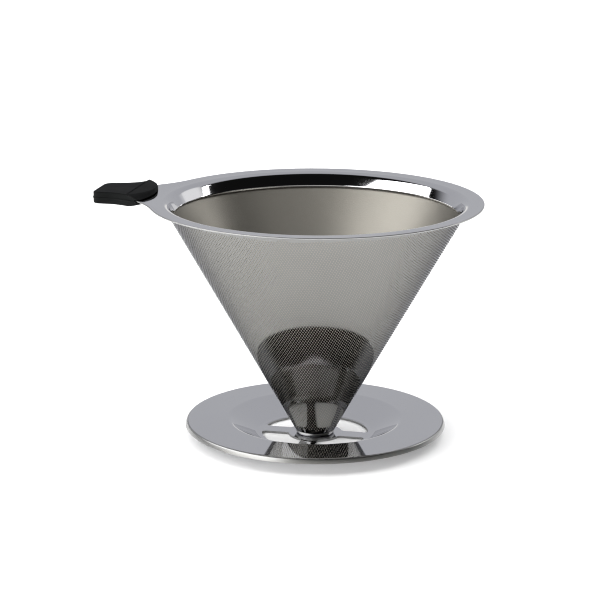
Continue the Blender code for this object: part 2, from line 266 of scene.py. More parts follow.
class Nodes:
    """Short calls for building the node tree of a material or of the world."""

    def __init__(self, owner, shader="Principled BSDF"):
        self.owner = owner
        owner.use_nodes = True
        self.tree = owner.node_tree
        self.shader = self.tree.nodes[shader]

    def put(self, target, value):
        """Link a socket into an input, or set the input to a plain value."""
        if isinstance(value, bpy.types.NodeSocket):
            self.tree.links.new(value, target)
        elif isinstance(value, tuple) and len(value) == 3 and target.type == "RGBA":
            target.default_value = (*value, 1.0)
        else:
            target.default_value = value

    def math(self, operation, first, second=0.0):
        node = self.tree.nodes.new("ShaderNodeMath")
        node.operation = operation
        self.put(node.inputs[0], first)
        self.put(node.inputs[1], second)
        return node.outputs[0]

    def place(self, kind="Object"):
        """The object's own coordinates in metres, or another kind of place such as its normals."""
        return self.tree.nodes.new("ShaderNodeTexCoord").outputs[kind]

    def distance_from_axis(self, vector):
        """Distance of a place from the Z axis."""
        node = self.tree.nodes.new("ShaderNodeVectorMath")
        node.operation = "LENGTH"
        self.put(node.inputs[0], self.scaled(vector, (1.0, 1.0, 0.0)))
        return node.outputs["Value"]

    def scaled(self, vector, scale):
        """Coordinates stretched by three factors."""
        node = self.tree.nodes.new("ShaderNodeMapping")
        self.put(node.inputs["Vector"], vector)
        node.inputs["Scale"].default_value = scale
        return node.outputs[0]

    def noise(self, vector, scale, detail=3.0, roughness=0.5):
        node = self.tree.nodes.new("ShaderNodeTexNoise")
        self.put(node.inputs["Vector"], vector)
        node.inputs["Scale"].default_value = scale
        node.inputs["Detail"].default_value = detail
        node.inputs["Roughness"].default_value = roughness
        return node.outputs[0]

    def dot(self, vector, direction):
        """Dot product of a vector and a fixed direction."""
        node = self.tree.nodes.new("ShaderNodeVectorMath")
        node.operation = "DOT_PRODUCT"
        self.put(node.inputs[0], vector)
        node.inputs[1].default_value = direction
        return node.outputs["Value"]

    def span(self, value, low, high, from_low=0.0, from_high=1.0, curve="LINEAR"):
        """Map a value from one range into another, and stay inside it."""
        node = self.tree.nodes.new("ShaderNodeMapRange")
        node.interpolation_type = curve
        self.put(node.inputs["Value"], value)
        node.inputs["From Min"].default_value = from_low
        node.inputs["From Max"].default_value = from_high
        node.inputs["To Min"].default_value = low
        node.inputs["To Max"].default_value = high
        return node.outputs[0]

    def blend(self, factor, first, second):
        """Mix two colours."""
        node = self.tree.nodes.new("ShaderNodeMix")
        node.data_type = "RGBA"
        self.put(node.inputs["Factor"], factor)
        self.put(node.inputs[6], first)
        self.put(node.inputs[7], second)
        return node.outputs[2]

    def bump(self, height, strength, distance):
        """Normal of a surface raised by a height from 0 to 1, times a distance in metres."""
        node = self.tree.nodes.new("ShaderNodeBump")
        self.put(node.inputs["Height"], height)
        node.inputs["Strength"].default_value = strength
        node.inputs["Distance"].default_value = distance
        return node.outputs[0]

    def finish(self, **inputs):
        """Fill the shader's inputs; underscores in the names stand for spaces."""
        for name, value in inputs.items():
            self.put(self.shader.inputs[name.replace("_", " ")], value)
        return self.owner


def material_nodes(name):
    return Nodes(bpy.data.materials.new(name))


def polished_steel(name, dark, light, low, high, edge_from, punched=False):
    """Mirror-polished sheet: a faint colour drift, polishing haze and fine scratches in the roughness.

    Its colour lies between dark and light, its roughness between low and high. The rounded outer edge,
    from the radius edge_from on, is satin and painted a fixed mid grey, painted shade that dims its
    reflection.
    A punched sheet has dull cut faces in its openings, painted dark grey as painted shade.
    """
    n = material_nodes(name)
    place = n.place()
    drift = n.noise(place, 35.0, 2.0)
    haze = n.noise(place, 160.0, 4.0)
    scratches = n.noise(n.scaled(place, (1.0, 9.0, 1.0)), 900.0, 2.0)
    mix = n.math("ADD", n.math("MULTIPLY", haze, 0.7), n.math("MULTIPLY", scratches, 0.3))
    colour = n.blend(drift, dark, light)
    roughness = n.span(mix, low, high, 0.3, 0.7)
    level = n.math("ABSOLUTE", n.dot(n.place("Normal"), (0.0, 0.0, 1.0)))
    away = n.distance_from_axis(place)
    outer = n.math("GREATER_THAN", away, edge_from * MM)
    edge = n.math("MULTIPLY", n.math("LESS_THAN", level, 0.97), outer)
    # Painted shade: the rounded edge is painted a fixed mid grey that dims its reflection; its raised
    # roughness makes it satin.
    colour = n.blend(edge, colour, (0.38, 0.38, 0.375))
    roughness = n.math("MAXIMUM", roughness, n.math("MULTIPLY", edge, 0.33))
    if punched:
        near_hub = n.math("LESS_THAN", away, (CUTOUT_RADIUS + 0.5) * MM)
        # Painted shade: the openings' cut faces are painted dark grey, standing in for the shaded floor
        # they mirror; they are also rougher.
        cut_face = n.math("MULTIPLY", n.math("LESS_THAN", level, 0.3), near_hub)
        colour = n.blend(cut_face, colour, (0.3, 0.3, 0.3))
        roughness = n.math("MAXIMUM", roughness, n.math("MULTIPLY", cut_face, 0.5))
    return n.finish(Base_Color=colour, Metallic=1.0, Roughness=roughness)


def perforated_steel():
    """The etched outer sheet, painted far darker than the turned pieces: painted shade that dims the bright
    floor it mirrors.
    """
    n = material_nodes("perforated_steel")
    place = n.place()
    drift = n.noise(place, 45.0, 3.0)
    haze = n.noise(place, 220.0, 3.0)
    return n.finish(
        # Painted shade: a much darker colour than the same polished steel on the collar.
        Base_Color=n.blend(drift, (0.255, 0.255, 0.25), (0.295, 0.295, 0.287)),
        Metallic=1.0,
        Specular_Tint=(0.4, 0.4, 0.42),
        Roughness=n.span(haze, 0.03, 0.07, 0.3, 0.7),
    )


def woven_steel():
    """Fine woven wire cloth: warm grey, matt, with the weave in its normal and faint mottling."""
    n = material_nodes("woven_steel")
    place = n.place()
    mottle = n.noise(place, 120.0, 4.0, 0.6)
    grain = n.noise(place, 2600.0, 2.0, 0.7)
    tone = n.math("ADD", n.math("MULTIPLY", mottle, 0.5), n.math("MULTIPLY", grain, 0.5))
    return n.finish(
        Base_Color=n.blend(tone, (0.265, 0.25, 0.222), (0.34, 0.325, 0.29)),
        Metallic=0.95,
        Specular_Tint=(0.4, 0.4, 0.4),
        Roughness=n.span(mottle, 0.38, 0.48),
        Normal=n.bump(grain, 0.5, 0.0001),
    )


def silicone():
    """Matt black silicone with a fine moulded grain and a little dust on it."""
    n = material_nodes("black_silicone")
    place = n.place()
    grain = n.noise(place, 1800.0, 3.0, 0.6)
    patches = n.noise(place, 140.0, 3.0)
    return n.finish(
        Base_Color=n.blend(patches, (0.004, 0.0045, 0.0045), (0.010, 0.011, 0.011)),
        Roughness=n.span(patches, 0.5, 0.66),
        Specular_IOR_Level=0.05,
        Normal=n.bump(grain, 0.35, 0.00008),
    )


# ---------------------------------------------------------------- rim collar

def tab_outline(margin, fine=1):
    """Half outline of the flange and its tab for y >= 0, from the tab's end to the far side of the rim."""
    radius = RIM_RADIUS + margin
    blend = FLARE_RADIUS - margin
    side = Vector((math.cos(TAB_TAPER), math.sin(TAB_TAPER)))
    outward = Vector((-side.y, side.x))
    start = Vector((-TAB_END, TAB_HALF_WIDTH)) + outward * margin
    # The blend's centre is a distance `reach` from the axis and `blend` from the tab's side.
    reach = radius + blend
    offset = blend + start.dot(outward)
    centre_angle = math.acos(offset / reach) + math.atan2(outward.y, outward.x)
    centre = Vector((math.cos(centre_angle), math.sin(centre_angle))) * reach
    on_side = centre - outward * blend
    on_rim = centre.normalized() * radius

    corner = TAB_CORNER + margin
    half_end = TAB_HALF_WIDTH + margin * 0.8
    end_x = -(TAB_END + margin)
    points = [(end_x, 0.0)]
    corner_end = 90.0 + math.degrees(TAB_TAPER)
    points.extend(arc((end_x + corner, half_end - corner), corner, 180.0, corner_end, 3 * fine))
    points.append(tuple(on_side))
    first = math.degrees(math.atan2(on_side.y - centre.y, on_side.x - centre.x))
    last = math.degrees(math.atan2(on_rim.y - centre.y, on_rim.x - centre.x))
    points.extend(arc(tuple(centre), blend, first, last, 8 * fine)[1:])
    rim_start = math.degrees(math.atan2(on_rim.y, on_rim.x))
    points.extend(arc((0.0, 0.0), radius, rim_start, 0.0, round(rim_start / 5.0) * fine)[1:])
    return points


def full_outline(half):
    """Mirror a half outline in the X axis into a closed outline."""
    return half + [(x, -y) for x, y in half[-2:0:-1]]


def collar_profile():
    """Mid-line of the collar from the skirt's curled lower edge, over the bend, to the flange."""
    offset = across_wall(2 * WALL + 2 * WALL_GAP + SHEET / 2)
    middle_z = RIM_TOP - SHEET / 2 - FLANGE_RISE
    corner_radius = outer_radius(middle_z) - offset
    tangent = BEND_RADIUS * math.tan((math.pi / 2 - CONE_LEAN) / 2)
    centre = (corner_radius + tangent, middle_z - BEND_RADIUS)
    lean = math.degrees(CONE_LEAN)
    bend = arc(centre, BEND_RADIUS, 180.0 - lean, 90.0, 20)
    # The skirt's lower edge turns upright round a small bend.
    lip_top = SKIRT_BOTTOM + LIP_HEIGHT + LIP_RADIUS * math.sin(CONE_LEAN)
    lip_start = outer_radius(lip_top) - offset
    lip_centre = (lip_start + LIP_RADIUS * math.cos(CONE_LEAN), lip_top - LIP_RADIUS * math.sin(CONE_LEAN))
    lip = arc(lip_centre, LIP_RADIUS, 180.0, 180.0 - lean, 6)
    return [(lip[0][0], SKIRT_BOTTOM)] + lip + bend


def offset_outline(outline, inset):
    """Move a closed outline inwards along its normals."""
    moved = []
    for index, (x, y) in enumerate(outline):
        before = Vector(outline[index - 1])
        after = Vector(outline[(index + 1) % len(outline)])
        along = (after - before).normalized()
        moved.append((x + along.y * inset, y - along.x * inset))
    return moved


def rim_collar(material):
    """One stamping: flat flange with its handle tab, and a conical skirt inside the filter."""
    outline = full_outline(tab_outline(0.0, 5))
    angles = [math.atan2(y, x) for x, y in outline]
    profile = collar_profile()
    count = len(profile)
    section = sheet_section(profile, SHEET)
    half = SHEET / 2

    def ring_at(radius, height):
        return [(radius * math.cos(a), radius * math.sin(a), height) for a in angles]

    loops = [ring_at(radius, height) for radius, height in section[:count]]
    # The flange's outer part, from its top round its edge to its underside: insets and heights.
    rounding = FLANGE_ROUNDING
    rim = [(inset, half) for inset in FLANGE_LOOPS]
    rim += arc((rounding, half - rounding), rounding, 90.0, 180.0, 6)
    rim += arc((rounding, rounding - half), rounding, 180.0, 270.0, 6)
    rim += [(inset, -half) for inset in FLANGE_LOOPS[::-1]]
    for inset, height in rim:
        moved = offset_outline(outline, inset)
        level = RIM_TOP - half + height - FLANGE_RISE * inset / FLANGE_WIDTH
        loops.append([(x, y, level) for x, y in moved])
    loops += [ring_at(radius, height) for radius, height in section[count:]]
    # The skirt's lower edge is rounded off. These rings run from the sheet's inside to its outside,
    # against the section, so the two strips that join them to it cross each other.
    loops += [ring_at(radius, height) for radius, height in arc(profile[0], half, 180.0, 360.0, 8)[1:-1]]

    body = bmesh.new()
    rings = [[body.verts.new(Vector(point) * MM) for point in loop] for loop in loops]
    sides = len(outline)
    for ring, following in zip(rings, rings[1:] + rings[:1]):
        for index in range(sides):
            after = (index + 1) % sides
            body.faces.new((ring[index], ring[after], following[after], following[index]))
    bmesh.ops.recalc_face_normals(body, faces=body.faces)
    mesh = bpy.data.meshes.new("steel_collar")
    body.to_mesh(mesh)
    body.free()
    item = add_object("steel_collar", mesh, material)
    smooth(mesh, 40.0)
    return item


# -------------------------------------------------------------- filter cones

def on_cone(slant, turn, depth=0.0):
    """Point on the cone for a place on the flat sheet: slant distance from the apex and angle."""
    radius = slant * math.sin(CONE_LEAN) - depth * math.cos(CONE_LEAN)
    height = CONE_APEX + slant * math.cos(CONE_LEAN) + depth * math.sin(CONE_LEAN)
    azimuth = turn / math.sin(CONE_LEAN) - math.pi / 2
    return np.stack([radius * np.cos(azimuth), radius * np.sin(azimuth), height], axis=-1)


def rib_lines(count):
    """Edges of the ribs of one family, in rib pitches, for rib numbers from -count to count."""
    half = RIB_WIDTH / RIB_PITCH / 2
    numbers = np.arange(-count, count + 1)
    return np.stack([numbers - half, numbers + half], axis=-1).reshape(-1)


def cell_corners(grid):
    """The values at the four corners of every cell of a grid, in order round the cell."""
    return np.stack((grid[:-1, :-1], grid[1:, :-1], grid[1:, 1:], grid[:-1, 1:]), axis=-1)


def perforated_sheet():
    """Slant and turn of the etched sheet's grid points, and the quads left between its holes.

    The flat sheet is a fan. Its grid lines are the edges of the ribs. A grid cell that lies between
    ribs of both families is a hole, unless it reaches into the sheet's unperforated border.
    """
    low = (CONE_BOTTOM - CONE_APEX) / math.cos(CONE_LEAN)
    high = (CONE_TOP - CONE_APEX) / math.cos(CONE_LEAN)
    fan = math.pi * math.sin(CONE_LEAN)
    step = RIB_PITCH / math.sin(2 * RIB_ANGLE)
    reach = int(high / (2 * step * math.sin(RIB_ANGLE))) * 2
    lines = rib_lines(reach)
    first, second = np.meshgrid(lines, lines, indexing="ij")
    across = (first - second) * step * math.sin(RIB_ANGLE)
    along = (first + second) * step * math.cos(RIB_ANGLE)
    slant = np.hypot(across, along)
    turn = np.arctan2(across, along)
    seam = fan - SEAM_GAP / np.maximum(slant, low)
    inside = (slant > low) & (slant < high) & (np.abs(turn) < seam)
    to_seam = (fan - np.abs(turn)) * slant
    open_here = (slant > low + BORDER_BOTTOM) & (slant < high - BORDER_TOP) & (to_seam > BORDER_SEAM)

    kept = np.any(cell_corners(inside), axis=-1)
    hole = np.all(cell_corners(open_here), axis=-1)
    between = np.arange(len(lines) - 1) % 2 == 1
    hole &= between[:, None] & between[None, :]
    quads = cell_corners(np.arange(slant.size).reshape(slant.shape))[kept & ~hole]
    slant_held = np.clip(slant, low, high).reshape(-1)
    turn_held = np.clip(turn, -seam, seam).reshape(-1)
    return slant_held, turn_held, quads


def sheet_panel(name, slant, turn, quads, material):
    """One panel of the etched sheet, with its thickness and the walls of its holes."""
    used, numbered = np.unique(quads, return_inverse=True)
    front = numbered.reshape(quads.shape)
    count = len(used)
    slant = slant[used]
    turn = turn[used]
    places = np.concatenate((on_cone(slant, turn), on_cone(slant, turn, WEB_THICKNESS)))

    starts = front.reshape(-1)
    ends = np.roll(front, -1, axis=1).reshape(-1)
    keys = np.minimum(starts, ends) * count + np.maximum(starts, ends)
    _, where, times = np.unique(keys, return_index=True, return_counts=True)
    rim = where[times == 1]
    walls = np.stack((ends[rim], starts[rim], starts[rim] + count, ends[rim] + count), axis=-1)
    faces = np.concatenate((front, front[:, ::-1] + count, walls))

    # The texture layer is the flat sheet, with the front and the back of the panel side by side.
    middle = (turn.min() + turn.max()) / 2
    flat = np.stack((slant * np.sin(turn - middle), slant * np.cos(turn - middle)), axis=-1)
    flat = flat - flat.min(axis=0)
    size = max(flat[:, 0].max() * 2.0, flat[:, 1].max()) * LAYER_SPARE
    flat = flat / size + LAYER_MARGIN
    back = flat + (0.5, 0.0)
    loop_places = np.concatenate((flat[front], back[front[:, ::-1]], flat[walls % count]))

    mesh = bpy.data.meshes.new(name)
    mesh.from_pydata((places * MM).tolist(), [], faces.tolist())
    layer = mesh.uv_layers.new(name="OFBake")
    layer.data.foreach_set("uv", loop_places.reshape(-1))
    body = bmesh.new()
    body.from_mesh(mesh)
    bmesh.ops.dissolve_degenerate(body, edges=body.edges, dist=0.00001 * MM)
    bmesh.ops.recalc_face_normals(body, faces=body.faces)
    body.to_mesh(mesh)
    body.free()
    item = add_object(name, mesh, material)
    smooth(mesh, 40.0)
    return item


def outer_filter_cone(material):
    """Outer wall: the etched sheet with every hole cut through, in panels side by side."""
    slant, turn, quads = perforated_sheet()
    fan = math.pi * math.sin(CONE_LEAN)
    share = (turn[quads].mean(axis=1) / fan + 1.0) / 2.0
    number = np.clip((share * SHEET_PANELS).astype(int), 0, SHEET_PANELS - 1)
    return [sheet_panel("perforated_wall_" + str(index + 1), slant, turn, quads[number == index], material)
            for index in range(SHEET_PANELS)]


def wall_section(depth, thickness, bottom, top):
    """Section of a conical wall that lies a depth inside the outer surface."""
    near = across_wall(depth)
    far = across_wall(depth + thickness)
    rows = 24
    heights = [bottom + (top - bottom) * row / rows for row in range(rows + 1)]
    outside = [(outer_radius(height) - near, height) for height in heights[::-1]]
    inside = [(outer_radius(height) - far, height) for height in heights]
    return outside + inside


def inner_mesh_cone(material):
    """Fine woven wall inside the outer one."""
    return turned("woven_wall", wall_section(MESH_DEPTH, WALL, CONE_BOTTOM, MESH_TOP), material)


def inner_tip_cup(material):
    """Small cup that closes the woven wall's narrow end, open at the top."""
    offset = across_wall(2 * (WALL + WALL_GAP) + CUP_SHEET / 2)
    bend_top = CUP_FLOOR + CUP_BEND_HEIGHT
    wall_foot = (outer_radius(bend_top) - offset, bend_top)
    floor_end = wall_foot[0] - CUP_BEND_WIDTH
    middle = [(0.0, CUP_FLOOR), (floor_end, CUP_FLOOR)]
    for share in (0.25, 0.5, 0.75):
        angle = math.radians(90 * share)
        middle.append((floor_end + CUP_BEND_WIDTH * math.sin(angle),
                       CUP_FLOOR + CUP_BEND_HEIGHT * (1 - math.cos(angle))))
    middle.append(wall_foot)
    middle.append((outer_radius(CUP_LIP) - offset, CUP_LIP))
    return turned("tip_cup", sheet_section(middle, CUP_SHEET), material)


def tip_disc(material):
    """Round disc under the narrow end of both walls, with the rivet's hole and a turned-down rim."""
    hole = RIVET_SHANK + GAP
    low = HUB_RISE + SAUCER_SHEET + STACK_GAP
    high = CONE_BOTTOM - GAP
    rim_low = SAUCER_SHEET + STACK_GAP
    foot = DISC_RADIUS - DISC_TAPER
    inner = foot - DISC_RIM / 2
    corner = arc((DISC_RADIUS - DISC_ROUNDING, high - DISC_ROUNDING), DISC_ROUNDING, 90.0, 0.0, 5)
    section = [(hole, high)] + corner + [(foot, rim_low), (inner, rim_low), (inner, low), (hole, low)]
    return turned("base_disc", section, material)


def hub_rivet(material):
    """Rivet through the saucer's hub and the tip disc; its lower head is level with the rest plane."""
    upper_seat = CONE_BOTTOM - GAP + STACK_GAP
    lower_seat = HUB_RISE - STACK_GAP
    head = []
    for degrees in range(0, 91, 10):
        angle = math.radians(degrees)
        head.append((RIVET_DOME * math.sin(angle), upper_seat + RIVET_DOME_HEIGHT * math.cos(angle)))
    foot = arc((RIVET_HEAD - RIVET_ROUNDING, RIVET_ROUNDING), RIVET_ROUNDING, 0.0, -90.0, 5)
    section = head + [(RIVET_SHANK, upper_seat), (RIVET_SHANK, lower_seat), (RIVET_HEAD, lower_seat)]
    section += foot + [(0.0, 0.0)]
    return turned("hub_rivet_head", section, material)


# -------------------------------------------------------------------- saucer

def wall_slope():
    """Slope of the straight wall that touches both of the well's bends."""
    rise = SAUCER_TOP - SAUCER_SHEET - WALL_FOOT_BEND - SHOULDER_BEND
    run = SHOULDER_RADIUS - WELL_RADIUS
    return math.atan2(rise, run) + math.asin((WALL_FOOT_BEND + SHOULDER_BEND) / math.hypot(rise, run))


def saucer_middle():
    """Mid-line of the saucer's sheet from the rivet's hole to its turned-down edge."""
    half = SAUCER_SHEET / 2
    hole = RIVET_SHANK + GAP
    middle = [(hole, HUB_RISE + half)]
    for step in range(9):
        share = step / 8
        radius = RISE_INNER + (RISE_OUTER - RISE_INNER) * share
        middle.append((radius, half + HUB_RISE * (1 - eased(share))))
    middle.append((HUB_RADIUS, half))
    ring_height = SAUCER_TOP - half
    slope = math.degrees(wall_slope())
    middle += arc((WELL_RADIUS, half + WALL_FOOT_BEND), WALL_FOOT_BEND, -90.0, slope - 90.0, 16)
    middle += arc((SHOULDER_RADIUS, ring_height - SHOULDER_BEND), SHOULDER_BEND, 90.0 + slope, 90.0, 16)
    ring_loops = [SHOULDER_RADIUS + out for out in RING_LOOPS_INNER]
    ring_loops += [ROLL_START - inwards for inwards in RING_LOOPS_OUTER]
    for radius in ring_loops:
        middle.append((radius, ring_height - RING_FALL * (radius - SHOULDER_RADIUS)))
    # A tight bend turns the sheet down, and a shallower one carries it on to the upright edge.
    start = (ROLL_START, ring_height - RING_FALL * (ROLL_START - SHOULDER_RADIUS))
    steep = math.radians(ROLL_STEEP)
    middle += arc((start[0], start[1] - ROLL_RADIUS), ROLL_RADIUS, 90.0, 90.0 - ROLL_STEEP, 14)
    bend_end = middle[-1]
    reach = SAUCER_RADIUS - half - bend_end[0]
    slow_radius = reach / (1 - math.sin(steep))
    slow_height = bend_end[1] - slow_radius * math.cos(steep)
    slow_centre = (SAUCER_RADIUS - half - slow_radius, slow_height)
    low_end = start[1] - ROLL_DEPTH
    last = -math.degrees(math.asin(min(1.0, (slow_centre[1] - low_end) / slow_radius)))
    middle += arc(slow_centre, slow_radius, 90.0 - ROLL_STEEP, last, 14)[1:]
    return middle


def cutout_outline(turn):
    """Outline of one drip opening between two spokes, with rounded corners."""
    inner = SPOKE_WIDTH / 2
    corner = CUTOUT_CORNER
    points = []
    # Corner circles are tangent to a spoke's side and to the inner or outer arc.
    outer_reach = CUTOUT_RADIUS - corner
    inner_reach = HUB_RADIUS + corner
    low_outer = math.asin((inner + corner) / outer_reach)
    low_inner = math.asin((inner + corner) / inner_reach)
    outer_first = (outer_reach * math.cos(low_outer), outer_reach * math.sin(low_outer))
    outer_last = (outer_first[1], outer_first[0])
    inner_first = (inner_reach * math.cos(low_inner), inner_reach * math.sin(low_inner))
    inner_last = (inner_first[1], inner_first[0])
    degrees = math.degrees
    points += arc(outer_first, corner, -90.0, degrees(low_outer), 8)
    points += arc((0, 0), CUTOUT_RADIUS, degrees(low_outer), 90.0 - degrees(low_outer), 24)[1:-1]
    points += arc(outer_last, corner, 90.0 - degrees(low_outer), 180.0, 8)
    points += arc(inner_last, corner, 180.0, 270.0 - degrees(low_inner), 6)
    points += arc((0, 0), HUB_RADIUS, 90.0 - degrees(low_inner), degrees(low_inner), 8)[1:-1]
    points += arc(inner_first, corner, 180.0 + degrees(low_inner), 270.0, 6)
    cosine = math.cos(math.radians(turn))
    sine = math.sin(math.radians(turn))
    return [(x * cosine - y * sine, x * sine + y * cosine) for x, y in points]


def saucer_stand(material):
    """Round saucer with a flat well, four drip openings and a turned-down edge."""
    item = turned("saucer", sheet_section(saucer_middle(), SAUCER_SHEET), material)
    for quadrant in range(4):
        cut(item, extruded("opening", cutout_outline(90.0 * quadrant), -2.0, 4.0))
    smooth(item.data)
    return item


# --------------------------------------------------------------------- grip

def grip_side(distance):
    """Half width of the grip along its side; it widens towards the rim."""
    share = min(1.0, max(0.0, (GRIP_FLARE_START - distance) / GRIP_FLARE_LENGTH))
    flare = GRIP_FLARE * eased(share)
    return GRIP_HALF_WIDTH + GRIP_SIDE_TAPER * (GRIP_TIP - distance) + flare


def grip_half_width(distance):
    """Half width of the grip, with its corners rounded in plan."""
    width = grip_side(distance)
    for reach, radius in ((GRIP_TIP - distance, GRIP_TIP_ROUND), (distance - GRIP_ROOT, GRIP_ROOT_ROUND)):
        into = radius - reach
        if into > 0:
            width -= radius - math.sqrt(max(radius ** 2 - into ** 2, 0.0))
    return width


def grip_lean(distance, y, level):
    """How far a point of the grip is moved outwards, so that its root end leans back."""
    share = max(0.0, 1.0 - (distance - GRIP_ROOT) / GRIP_LEAN_REACH)
    return share * level * level * (GRIP_LEAN + GRIP_LEAN_CURVE * (y - GRIP_LEAN_CENTRE) ** 2)


def grip_stations():
    """Distances from the axis at which the grip's plan is drawn, from its tip to its root."""
    from_tip = [0.0, 0.06, 0.2, 0.42, 0.72, 1.1, 1.6, 2.2]
    from_root = [1.4, 0.9, 0.5, 0.25, 0.1, 0.04, 0.0]
    first = GRIP_TIP - GRIP_TIP_ROUND
    last = GRIP_ROOT + from_root[0]
    middle = [first + (last - first) * step / 32 for step in range(32)]
    return [GRIP_TIP - inwards for inwards in from_tip] + middle + [GRIP_ROOT + out for out in from_root]


def grip_sleeve(material):
    """Soft moulded sleeve over the tab, with a parting ridge round its side and a slot for the tab."""
    stations = grip_stations()
    across = 20
    last = len(stations) - 1
    ridge = GRIP_RIDGE

    def plan(distance, y):
        share = (GRIP_BOW_START - distance) / (GRIP_BOW_START - GRIP_ROOT)
        bow = GRIP_BOW * max(0.0, share)
        return (-distance - bow * (y - GRIP_BOW_CENTRE) ** 2, y)

    def station_row(index):
        half = grip_half_width(stations[index])
        return [plan(stations[index], half * (1 - 2 * step / across)) for step in range(across + 1)]

    rows = [station_row(index) for index in range(last + 1)]
    # The closed outline runs along the tip, down the -Y side, along the root and back up the +Y side.
    order = [(0, step) for step in range(across)]
    order += [(index, across) for index in range(last)]
    order += [(last, step) for step in range(across, 0, -1)]
    order += [(index, 0) for index in range(last, 0, -1)]
    outline = [rows[index][step] for index, step in order]
    depth = [GRIP_TIP - stations[index] for index, step in order]

    def position(index, level, inset):
        """Place on the skin at a level from -1 to 1 across the thickness, and an inset in plan."""
        x, y = inset_outlines[inset][index]
        distance = GRIP_TIP - depth[index]
        centre = RIM_TOP - SHEET / 2 - GRIP_DROP - GRIP_DROOP * max(0.0, distance - RIM_RADIUS)
        shift = grip_lean(distance, y, level)
        narrowing = grip_side(distance + shift) / grip_side(distance) if shift > 0 else 1.0
        return Vector((x - shift, y * narrowing, centre + GRIP_HALF_THICKNESS * level))

    # The side from top to bottom: pairs of a level and an inset, round the top edge and over the ridge.
    corner = GRIP_CORNER
    side = []
    for step in range(9):
        angle = math.radians(90.0 * step / 8)
        inset = ridge + (1.0 - math.sin(angle)) * corner * GRIP_HALF_THICKNESS
        side.append((1.0 - corner + corner * math.cos(angle), inset))
    side += [(0.30, ridge), (0.18, ridge), (0.13, ridge * 0.85), (0.09, 0.03), (0.05, 0.0)]
    side += [(-level, inset) for level, inset in side[::-1]]

    inset_outlines = {inset: offset_outline(outline, -inset) for level, inset in side}
    sides = len(outline)
    body = bmesh.new()
    rings = [[body.verts.new(position(index, level, inset) * MM) for index in range(sides)]
             for level, inset in side]
    for ring, following in zip(rings, rings[1:]):
        for index in range(sides):
            after = (index + 1) % sides
            body.faces.new((ring[index], ring[after], following[after], following[index]))
    for ring in (rings[0], rings[-1]):
        place = {key: ring[index] for index, key in enumerate(order)}
        for index in range(1, last):
            left = place[(index, 0)].co
            right = place[(index, across)].co
            for step in range(1, across):
                point = left.lerp(right, step / across)
                place[(index, step)] = body.verts.new(point)
        for index in range(last):
            for step in range(across):
                body.faces.new((place[(index, step)], place[(index, step + 1)],
                                place[(index + 1, step + 1)], place[(index + 1, step)]))
    bmesh.ops.recalc_face_normals(body, faces=body.faces)
    mesh = bpy.data.meshes.new("silicone_grip")
    body.to_mesh(mesh)
    body.free()
    item = add_object("silicone_grip", mesh, material)
    middle_z = RIM_TOP - SHEET / 2
    slot = [point for point in full_outline(tab_outline(GAP, 3)) if point[0] < -40.0]
    slot.sort(key=lambda point: math.atan2(point[1], -point[0]))
    cut(item, extruded("slot", slot, middle_z - SHEET / 2 - GAP, middle_z + SHEET / 2 + GAP))
    smooth(item.data, 32.0)
    return item


# --------------------------------------------------------------------- scene

CAMERA_AZIMUTH = math.radians(12.0)
CAMERA_ELEVATION = math.radians(14.644)
CAMERA_ROLL = math.radians(0.286)
CAMERA_DISTANCE = 0.80471
CAMERA_TARGET = Vector((0.0, 0.0, 0.052781))
CAMERA_LENS = 128.214         # millimetres, on a sensor 36 mm wide
CAMERA_SHIFT = -0.02629


def towards(left, elevation):
    """Unit vector to a place round the object: degrees left of the camera, and above the horizon."""
    azimuth = CAMERA_AZIMUTH - math.radians(left)
    lift = math.radians(elevation)
    return Vector((math.sin(azimuth) * math.cos(lift), -math.cos(azimuth) * math.cos(lift), math.sin(lift)))


def add_camera():
    """Camera at the catalogue view: a little above the rim, turned a little to the handle's far side."""
    data = bpy.data.cameras.new("camera")
    data.lens = CAMERA_LENS
    data.sensor_width = 36.0
    data.shift_x = CAMERA_SHIFT
    camera = bpy.data.objects.new("camera", data)
    bpy.context.scene.collection.objects.link(camera)
    direction = towards(0.0, math.degrees(CAMERA_ELEVATION))
    camera.location = CAMERA_TARGET + direction * CAMERA_DISTANCE
    facing = (-direction).to_track_quat("-Z", "Y") @ Quaternion((0.0, 0.0, 1.0), CAMERA_ROLL)
    camera.rotation_mode = "QUATERNION"
    camera.rotation_quaternion = facing
    bpy.context.scene.camera = camera


def area_light(name, left, elevation, distance, width, height, radiance, mirrored=True):
    """Soft rectangular light that faces the object. Radiance is what a mirror would show."""
    data = bpy.data.lights.new(name, "AREA")
    data.shape = "RECTANGLE"
    data.size = width
    data.size_y = height
    data.energy = radiance * math.pi * width * height
    lamp = bpy.data.objects.new(name, data)
    bpy.context.scene.collection.objects.link(lamp)
    direction = towards(left, elevation)
    lamp.location = CAMERA_TARGET + direction * distance
    lamp.rotation_mode = "QUATERNION"
    lamp.rotation_quaternion = direction.to_track_quat("Z", "Y")
    lamp.visible_glossy = mirrored
    return lamp


def add_floor():
    """Plain pale sweep that the dripper stands on."""
    body = bmesh.new()
    bmesh.ops.create_grid(body, x_segments=8, y_segments=8, size=4.0)
    mesh = bpy.data.meshes.new("floor")
    body.to_mesh(mesh)
    body.free()
    n = material_nodes("floor_paper")
    tone = n.noise(n.place(), 4.0, 2.0)
    material = n.finish(Base_Color=n.blend(tone, (0.80, 0.80, 0.80), (0.82, 0.82, 0.82)),
                        Roughness=0.9, Specular_IOR_Level=0.1)
    floor = add_object("floor", mesh, material)
    floor.location.z = -0.0001


